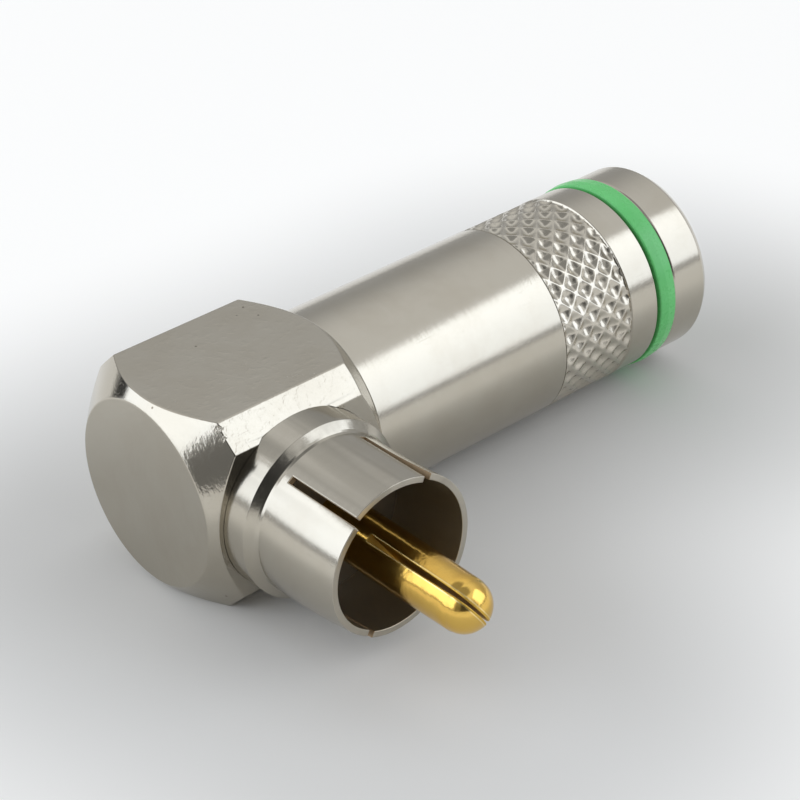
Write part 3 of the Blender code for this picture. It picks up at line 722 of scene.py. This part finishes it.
# The burrs' paler gold is a painted highlight along the cut's edges.
tone = blended(gold_tree, burr, feed(shader, "Base Color"), GOLD_BURR_HIGHLIGHT)
tone = blended(gold_tree, in_cut, tone, GOLD_CUT_TONE)
dull = plain(gold_tree, "ADD", in_cut, plain(gold_tree, "MULTIPLY", burr, 0.5))
dull = plain(gold_tree, "MULTIPLY", dull, GOLD_CUT_ROUGHNESS)
dull = plain(gold_tree, "MAXIMUM", feed(shader, "Roughness"), dull)
gold_tree.links.new(tone, shader.inputs["Base Color"])
gold_tree.links.new(dull, shader.inputs["Roughness"])
waves = noise(gold_tree, place, 1700.0, 2.0)
waves = plain(gold_tree, "MULTIPLY_ADD", waves, GOLD_WAVES, feed(relief, "Height"))
gold_tree.links.new(waves, relief.inputs["Height"])

pin_line = [(PIN_CUT_ROOT, 0.0), (PIN_CUT_ROOT, PIN_RADIUS), (BUSH_FACE, PIN_RADIUS),
            (BUSH_FACE, PIN_SHANK), (PIN_BACK, PIN_SHANK), (PIN_BACK, 0.0)]
cross_hole = [(CUTTER_END, 0.0), (CUTTER_END, CROSS_HOLE), (-CUTTER_END, CROSS_HOLE), (-CUTTER_END, 0.0)]
pin_line = filled(pin_line, spacing=0.0008)
pin = cut(turned(pin_line, "plug", steps=96), turned(cross_hole, "cable", steps=48))
for side in (-1.0, 1.0):
    half_mesh = bpy.data.meshes.new("pin_half")
    half = split_half(side)
    half.to_mesh(half_mesh)
    pin.from_mesh(half_mesh)
    bpy.data.meshes.remove(half_mesh)
piece("pin", pin, gold, "plug_body", "gold", "center_pin", sharp=35.0)


# Barrel. A long turned tube with a spigot in the elbow, a plain lip at its mouth, and a diamond
# knurl pressed into a band near the lip, which leaves a lattice of bright ridges round small pits.
BARREL_RADIUS = 0.0059
BARREL_END = 0.02815
BARREL_FACE = 0.00607
BARREL_BACK = 0.0032
BARREL_FLOOR = 0.0089
BARREL_BORE = 0.0050
BARREL_SPIGOT = 0.0041
BARREL_THROAT = 0.0032
KNURL_START = 0.02045
KNURL_LENGTH = 0.00555
KNURL_END = KNURL_START + KNURL_LENGTH
KNURL_SEAT = 0.0053
barrel_nickel = metal("turned_nickel_barrel", NICKEL_COLOUR, NICKEL_STAIN, "X", marks=0.8, roughness=0.17,
                      scratches=0.3)
barrel_line = [
    (BARREL_END, BARREL_BORE), (BARREL_END, BARREL_RADIUS), (KNURL_END, BARREL_RADIUS),
    (KNURL_END, KNURL_SEAT), (KNURL_START, KNURL_SEAT), (KNURL_START, BARREL_RADIUS),
    (BARREL_FACE, BARREL_RADIUS), (BARREL_FACE, BARREL_SPIGOT), (BARREL_BACK, BARREL_SPIGOT),
    (BARREL_BACK, BARREL_THROAT), (BARREL_FLOOR, BARREL_THROAT), (BARREL_FLOOR, BARREL_BORE),
]
barrel_line = eased(barrel_line, 0.00006, steps=3, closed=True, guard=0.00002)
barrel_tube = turned(filled(barrel_line, spacing=0.002, closed=True), "cable", steps=256, closed=True)
piece("barrel_tube", barrel_tube, barrel_nickel, "plug_body", "nickel", "barrel")

# Knurl: a flat sheet of rows and columns, rolled up into a closed band. It sinks into pits between
# two sets of ridges that cross, and a plain groove runs round its end near the lip.
knurl_tree = bpy.data.node_groups.new("diamond_knurl", "GeometryNodeTree")
for label, kind, value in (
    ("Radius", FLOAT, BARREL_RADIUS), ("Inner Radius", FLOAT, 0.00535), ("Start", FLOAT, KNURL_START),
    ("Length", FLOAT, KNURL_LENGTH), ("Depth", FLOAT, 0.00019), ("Cells Round", FLOAT, 26.0),
    ("Cells Along", FLOAT, 4.0), ("Crest", FLOAT, 0.95), ("Fullness", FLOAT, 0.50),
    ("Edge Groove", FLOAT, 0.00009), ("Unevenness", FLOAT, 0.00004),
):
    socket = knurl_tree.interface.new_socket(name=label, in_out="INPUT", socket_type=kind)
    socket.default_value = value
for label, value in (("Columns", 650), ("Rows", 100)):
    socket = knurl_tree.interface.new_socket(name=label, in_out="INPUT", socket_type="NodeSocketInt")
    socket.default_value = value
knurl_tree.interface.new_socket(name="Finish", in_out="INPUT", socket_type="NodeSocketMaterial")
knurl_tree.interface.new_socket(name="Geometry", in_out="OUTPUT", socket_type="NodeSocketGeometry")
knurl_in = knurl_tree.nodes.new("NodeGroupInput").outputs
# The sheet has three rows more than the band: one at each end for the inner wall, and one to close it.
sheet = add(knurl_tree, "GeometryNodeMeshGrid", {
    "Size X": 1.0, "Size Y": 1.0, "Vertices X": plain(knurl_tree, "ADD", knurl_in["Columns"], 1.0),
    "Vertices Y": plain(knurl_tree, "ADD", knurl_in["Rows"], 4.0)})
spot = parted(knurl_tree, add(knurl_tree, "GeometryNodeInputPosition").outputs[0])
round_share = plain(knurl_tree, "ADD", spot["X"], 0.5)
row = plain(knurl_tree, "MULTIPLY_ADD", plain(knurl_tree, "ADD", spot["Y"], 0.5),
            plain(knurl_tree, "ADD", knurl_in["Rows"], 3.0), -1.0)
outside = plain(knurl_tree, "COMPARE", row, plain(knurl_tree, "MULTIPLY", knurl_in["Rows"], 0.5),
                plain(knurl_tree, "MULTIPLY_ADD", knurl_in["Rows"], 0.5, 0.5))
closing = plain(knurl_tree, "GREATER_THAN", row, plain(knurl_tree, "ADD", knurl_in["Rows"], 1.5))
along_share = plain(knurl_tree, "DIVIDE", row, knurl_in["Rows"], clamp=True)
along_share = plain(knurl_tree, "MULTIPLY", along_share, plain(knurl_tree, "SUBTRACT", 1.0, closing))
around_cells = plain(knurl_tree, "MULTIPLY", round_share, knurl_in["Cells Round"])
along_cells = plain(knurl_tree, "MULTIPLY_ADD", along_share, knurl_in["Cells Along"], 0.25)
sunk = None
for operation in ("ADD", "SUBTRACT"):
    phase = plain(knurl_tree, "FRACT", plain(knurl_tree, operation, around_cells, along_cells))
    ridge = plain(knurl_tree, "ABSOLUTE", plain(knurl_tree, "MULTIPLY_ADD", phase, 2.0, -1.0))
    ridge = plain(knurl_tree, "DIVIDE", ridge, knurl_in["Crest"], clamp=True)
    bowl = plain(knurl_tree, "COSINE", plain(knurl_tree, "MULTIPLY", ridge, math.pi))
    bowl = plain(knurl_tree, "MULTIPLY_ADD", bowl, 0.5, 0.5)
    sunk = bowl if sunk is None else plain(knurl_tree, "MULTIPLY", sunk, bowl)
sunk = plain(knurl_tree, "POWER", sunk, knurl_in["Fullness"])
edge = plain(knurl_tree, "MINIMUM", along_share, plain(knurl_tree, "SUBTRACT", 1.0, along_share))
sunk = plain(knurl_tree, "MULTIPLY", sunk, ranged(knurl_tree, edge, 0.0, 0.012))
angle = plain(knurl_tree, "MULTIPLY", round_share, math.tau)
swirl = add(knurl_tree, "ShaderNodeCombineXYZ", {
    "X": plain(knurl_tree, "COSINE", angle), "Y": plain(knurl_tree, "SINE", angle), "Z": along_share})
uneven = noise(knurl_tree, swirl.outputs[0], 16.0, 2.0)
uneven = plain(knurl_tree, "MULTIPLY", uneven, knurl_in["Unevenness"])
uneven = plain(knurl_tree, "MULTIPLY", uneven, ranged(knurl_tree, edge, 0.0, 0.03))
lowered = plain(knurl_tree, "MULTIPLY_ADD", sunk, knurl_in["Depth"], uneven)
groove = ranged(knurl_tree, along_share, 0.972, 0.985)
groove = plain(knurl_tree, "MULTIPLY", groove, ranged(knurl_tree, along_share, 0.990, 1.0, 1.0, 0.0))
groove = plain(knurl_tree, "MULTIPLY", groove, knurl_in["Edge Groove"])
outer = plain(knurl_tree, "SUBTRACT", knurl_in["Radius"], plain(knurl_tree, "MAXIMUM", lowered, groove))
span = plain(knurl_tree, "SUBTRACT", outer, knurl_in["Inner Radius"])
radius = plain(knurl_tree, "MULTIPLY_ADD", span, outside, knurl_in["Inner Radius"])
place = add(knurl_tree, "ShaderNodeCombineXYZ", {
    "X": plain(knurl_tree, "MULTIPLY_ADD", along_share, knurl_in["Length"], knurl_in["Start"]),
    "Y": plain(knurl_tree, "MULTIPLY", radius, plain(knurl_tree, "COSINE", angle)),
    "Z": plain(knurl_tree, "MULTIPLY_ADD", radius, plain(knurl_tree, "SINE", angle), AXIS_HEIGHT)})
band = add(knurl_tree, "GeometryNodeSetPosition", {
    "Geometry": sheet.outputs[0], "Position": place.outputs[0]})
band = add(knurl_tree, "GeometryNodeMergeByDistance", {"Geometry": band.outputs[0], "Distance": 1e-7})
band = add(knurl_tree, "GeometryNodeRealizeInstances", {"Geometry": band.outputs[0]})
band = add(knurl_tree, "GeometryNodeSetMaterial", {
    "Geometry": band.outputs[0], "Material": knurl_in["Finish"]})
knurl_out = knurl_tree.nodes.new("NodeGroupOutput")
knurl_tree.links.new(band.outputs[0], knurl_out.inputs[0])

# The knurled band's plate is painted a little lighter than the barrel's: a painted sheen.
lightened_knurl_nickel = metal("knurled_nickel_painted_lighter", (0.55, 0.515, 0.445), (0.49, 0.447, 0.370), "X", marks=0.2,
                     roughness=0.23, scratches=0.2)
knurl_holder = bpy.data.objects.new("knurl_holder", bpy.data.meshes.new("knurl_holder"))
scene.collection.objects.link(knurl_holder)
knurl_step = knurl_holder.modifiers.new("knurl", "NODES")
knurl_step.node_group = knurl_tree
for item in knurl_tree.interface.items_tree:
    if item.name == "Finish":
        knurl_step[item.identifier] = lightened_knurl_nickel
knurl = outward(settled(knurl_holder))
piece("knurled_band", knurl, lightened_knurl_nickel, "plug_body", "nickel", sharp=60.0)


# Cable post, contact socket and its bush. They take the stripped cable deep inside the barrel:
# a barbed tinned tube for the braid, and a split gold collet in a white bush for the wire.
POST_END = 0.0215
POST_RADIUS = 0.00285
POST_BORE = 0.0024
BARB_ENDS = (0.0203, 0.0191)
BARB_RADIUS = 0.0031
FLANGE_FACE = 0.0099
FLANGE_RADIUS = 0.0049
POST_TAIL = 0.0031
SOCKET_SEAT = 0.0027
SOCKET_STOP = 0.0072
tinned = metal("tinned_brass", (0.60, 0.57, 0.50), (0.50, 0.46, 0.38), "X", marks=0.8, roughness=0.30)
barbs = [(end, radius) for end in BARB_ENDS for radius in (BARB_RADIUS, POST_RADIUS)]
post_line = [
    (POST_END, POST_RADIUS), *barbs, (FLANGE_FACE, POST_RADIUS), (FLANGE_FACE, FLANGE_RADIUS),
    (BARREL_FLOOR, FLANGE_RADIUS), (BARREL_FLOOR, POST_TAIL), (BARREL_BACK, POST_TAIL),
    (BARREL_BACK, SOCKET_SEAT), (SOCKET_STOP, SOCKET_SEAT), (SOCKET_STOP, POST_BORE),
    (POST_END, POST_BORE),
]
post = turned(eased(post_line, 0.00005, steps=3, closed=True), "cable", steps=128, closed=True)
piece("barbed_post", post, tinned, "plug_body", "tinned_brass", "cable_post", sharp=35.0)
white_plastic = moulded("white_plastic", (0.80, 0.80, 0.77), (0.74, 0.73, 0.69), roughness=0.40)
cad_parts["socket_insulator"].material_slots[0].material = white_plastic
gold_socket = metal("gold_socket", (0.78, 0.50, 0.13), (0.66, 0.36, 0.06), "X", marks=0.6, roughness=0.22)
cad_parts["contact_socket"].material_slots[0].material = gold_socket


# Compression ferrule. A moulded green sleeve that slides in the barrel and squeezes the cable's
# jacket. Only its proud ring shows, between the barrel's lip and the cap.
SLEEVE_START = 0.01855
SLEEVE_RADIUS = 0.00485
SLEEVE_BORE = 0.0039
SLEEVE_FLARE = ((SLEEVE_START, 0.0043), (0.02015, SLEEVE_BORE))
GROOVE_START = 0.02055
GROOVE_END = 0.02109
GROOVE_RADIUS = 0.00435
RING_END = 0.0297
RING_CROWN = ((RING_END, 0.00560), (0.02966, 0.00598), (0.02898, 0.00604), (0.02838, 0.00597),
              (0.02833, 0.00540), (BARREL_END, 0.00535))
TAIL_END = 0.0312
TAIL_RADIUS = 0.0046
green_plastic = moulded("green_plastic", (0.135, 0.62, 0.175), (0.155, 0.66, 0.20), roughness=0.29)
ferrule_line = [
    (TAIL_END, TAIL_RADIUS), (RING_END, TAIL_RADIUS), *RING_CROWN, (BARREL_END, SLEEVE_RADIUS),
    (GROOVE_END, SLEEVE_RADIUS), (GROOVE_END, GROOVE_RADIUS), (GROOVE_START, GROOVE_RADIUS),
    (GROOVE_START, SLEEVE_RADIUS), (SLEEVE_START, SLEEVE_RADIUS), *SLEEVE_FLARE, (TAIL_END, SLEEVE_BORE),
]
ferrule = turned(eased(ferrule_line, 0.00010, closed=True), "cable", steps=256, closed=True)
piece("green_ferrule", ferrule, green_plastic, "plunger", "green_plastic", "compression_ferrule")


# Seals. Two rings of black rubber cord. One lies in a groove of the ferrule's sleeve and seals the
# barrel, and one lies in the cap behind the ferrule's tail and seals the cable's jacket.
RING_STEPS = 20
rubber = moulded("black_rubber", (0.020, 0.020, 0.020), (0.032, 0.031, 0.030), roughness=0.62)


def seal(name, along, radius, cord, node):
    """A rubber ring of round section."""
    line = []
    for k in range(RING_STEPS):
        angle = math.tau * k / RING_STEPS
        line.append((along + cord / 2 * math.sin(angle), radius + cord / 2 * math.cos(angle)))
    piece(name, turned(line, "cable", steps=128, closed=True), rubber, "plunger", "rubber", node)


seal("sleeve_ring", along=0.02082, radius=0.00462, cord=0.00044, node="sleeve_seal")
seal("jacket_ring", along=0.03165, radius=0.00425, cord=0.00080, node="jacket_seal")


# End cap. A turned brass collar pressed on the ferrule's tail, nickel plated, with a rounded far
# edge. Its bore is the cable's mouth.
CAP_END = 0.0328
CAP_MOUTH = 0.0039
CAP_ROUND = ((CAP_END, 0.0052), (0.03262, 0.00562), (0.03222, BARREL_RADIUS))
CAP_FLOOR = 0.0321
CAP_SEAT = 0.0047
cap_line = [
    (CAP_END, CAP_MOUTH), *CAP_ROUND, (RING_END, BARREL_RADIUS), (RING_END, CAP_SEAT),
    (CAP_FLOOR, CAP_SEAT), (CAP_FLOOR, CAP_MOUTH),
]
cap = turned(eased(cap_line, 0.00018, closed=True), "cable", steps=256, closed=True)
piece("cap", cap, barrel_nickel, "plunger", "nickel", "end_cap")


# Studio. A white table in a soft light tent, with a big softbox on either side of the camera. The
# tent stands open and dark behind the camera and beyond the plug. None of it is part of the plug.
LIGHT_DISTANCE = 0.40
LIGHT_CENTRE = Vector((0.008, -0.004, 0.006))
LIGHT_COLOUR = (0.935, 1.01, 1.13)
TENT_COLOUR = (0.985, 1.0, 1.015, 1.0)
TABLE_COLOUR = (0.78, 0.768, 0.742, 1.0)
TABLE_LIFT = (0.01, 0.34)
# How far from the plug the table's painted shade fades into the white lift.
PAINTED_SHADE_REACH = (0.010, 0.032)


def softbox(name, azimuth, elevation, width, height, radiance):
    """A lamp that faces the plug from a direction, as large as the angles it covers."""
    lamp = bpy.data.lights.new(name, "AREA")
    lamp.shape = "RECTANGLE"
    lamp.size = 2 * LIGHT_DISTANCE * math.tan(math.radians(width) / 2)
    lamp.size_y = 2 * LIGHT_DISTANCE * math.tan(math.radians(height) / 2)
    lamp.energy = radiance * math.pi * lamp.size * lamp.size_y
    lamp.color = LIGHT_COLOUR
    made = bpy.data.objects.new(name, lamp)
    turn, rise = math.radians(azimuth), math.radians(elevation)
    away = Vector((math.cos(turn) * math.cos(rise), math.sin(turn) * math.cos(rise), math.sin(rise)))
    made.location = LIGHT_CENTRE + away * LIGHT_DISTANCE
    made.rotation_euler = away.to_track_quat("Z", "Y").to_euler()
    made.visible_camera = False
    scene.collection.objects.link(made)


softbox("right_softbox", azimuth=-43.5, elevation=27.5, width=39.0, height=43.0, radiance=1.45)
softbox("left_softbox", azimuth=150.0, elevation=25.2, width=67.0, height=35.5, radiance=1.55)

# Each opening of the tent: how dark, its azimuth, half its width and its soft edge, its top and the
# top's soft edge, all but the first in degrees.
TENT_OPENINGS = (
    (0.88, -119.0, 24.0, 5.0, 60.0, 4.0),
    (0.52, -155.0, 16.0, 4.0, 60.0, 4.0),
    (0.88, 109.5, 5.0, 1.0, 14.0, 2.0),
    (0.22, 104.0, 6.0, 3.0, 62.0, 3.0),
    (0.04, 62.0, 12.0, 8.0, 62.0, 3.0),
)
tent = bpy.data.worlds.new("light_tent")
tent.use_nodes = True
scene.world = tent
sky = tent.node_tree
sky.nodes.clear()
look = add(sky, "ShaderNodeTexCoord").outputs["Generated"]
look_up = parted(sky, look)["Z"]
flat_look = vectors(sky, "NORMALIZE", vectors(sky, "MULTIPLY", look, (1.0, 1.0, 0.0)))


def opening(azimuth, half_width, edge, top, top_edge):
    """A patch of the tent's wall, one inside and zero outside: where it stands open and dark."""
    turn = math.radians(azimuth)
    towards = vectors(sky, "DOT_PRODUCT", flat_look, (math.cos(turn), math.sin(turn), 0.0))
    outer, inner = [math.cos(math.radians(angle)) for angle in (half_width + edge, half_width - edge)]
    low, high = [math.sin(math.radians(angle)) for angle in (top - top_edge, top + top_edge)]
    return plain(sky, "MULTIPLY", ranged(sky, towards, outer, inner),
                 ranged(sky, look_up, low, high, 1.0, 0.0))


# The tent's cloth grows lighter upwards, as far as its open top.
glow = plain(sky, "MULTIPLY", ranged(sky, look_up, 0.25, 1.0, 0.52, 1.06),
             ranged(sky, look_up, 0.86, 0.93, 1.0, 0.35))
for dark, *patch in TENT_OPENINGS:
    glow = plain(sky, "MULTIPLY", glow, plain(sky, "MULTIPLY_ADD", opening(*patch), -dark, 1.0))
backdrop = add(sky, "ShaderNodeBackground", {"Color": TENT_COLOUR, "Strength": glow})
sky.links.new(backdrop.outputs[0], add(sky, "ShaderNodeOutputWorld").inputs["Surface"])

table_form = bmesh.new()
bmesh.ops.create_grid(table_form, x_segments=1, y_segments=1, size=1.5)
table = as_object(table_form, "table")
table_paint = bpy.data.materials.new("table_white")
table_paint.use_nodes = True
paint = table_paint.node_tree
paint.nodes.clear()
rays = add(paint, "ShaderNodeLightPath").outputs
seen = plain(paint, "MAXIMUM", plain(paint, "MAXIMUM", rays["Is Camera Ray"], rays["Is Glossy Ray"]),
             rays["Is Transmission Ray"])
spot = parted(paint, add(paint, "ShaderNodeTexCoord").outputs["Object"])


def from_stretch(along, across, start, end):
    """How far a spot of the table is from a straight stretch of the plug above it."""
    nearest = plain(paint, "MINIMUM", plain(paint, "MAXIMUM", along, start), end)
    beyond = plain(paint, "POWER", plain(paint, "SUBTRACT", along, nearest), 2.0)
    return plain(paint, "SQRT", plain(paint, "ADD", beyond, plain(paint, "POWER", across, 2.0)))


# The camera and the metal see the table lifted to white, but hardly near the plug: the lift fades
# towards the plug's outline as a painted shade round the plug's real shadow.
from_barrel = from_stretch(spot["X"], spot["Y"], -0.002, 0.028)
from_pin = from_stretch(spot["Y"], spot["X"], -0.016, 0.0)
gap = plain(paint, "SMOOTH_MIN", from_barrel, from_pin, 0.012)
matt = add(paint, "ShaderNodeBsdfDiffuse", {"Color": TABLE_COLOUR})
lift = add(paint, "ShaderNodeEmission", {
    "Strength": plain(paint, "MULTIPLY", seen, ranged(paint, gap, *PAINTED_SHADE_REACH, *TABLE_LIFT))})
both = add(paint, "ShaderNodeAddShader", {0: matt.outputs[0], 1: lift.outputs[0]})
paint.links.new(both.outputs[0], add(paint, "ShaderNodeOutputMaterial").inputs["Surface"])
table.data.materials.append(table_paint)

scene.view_settings.view_transform = "Standard"
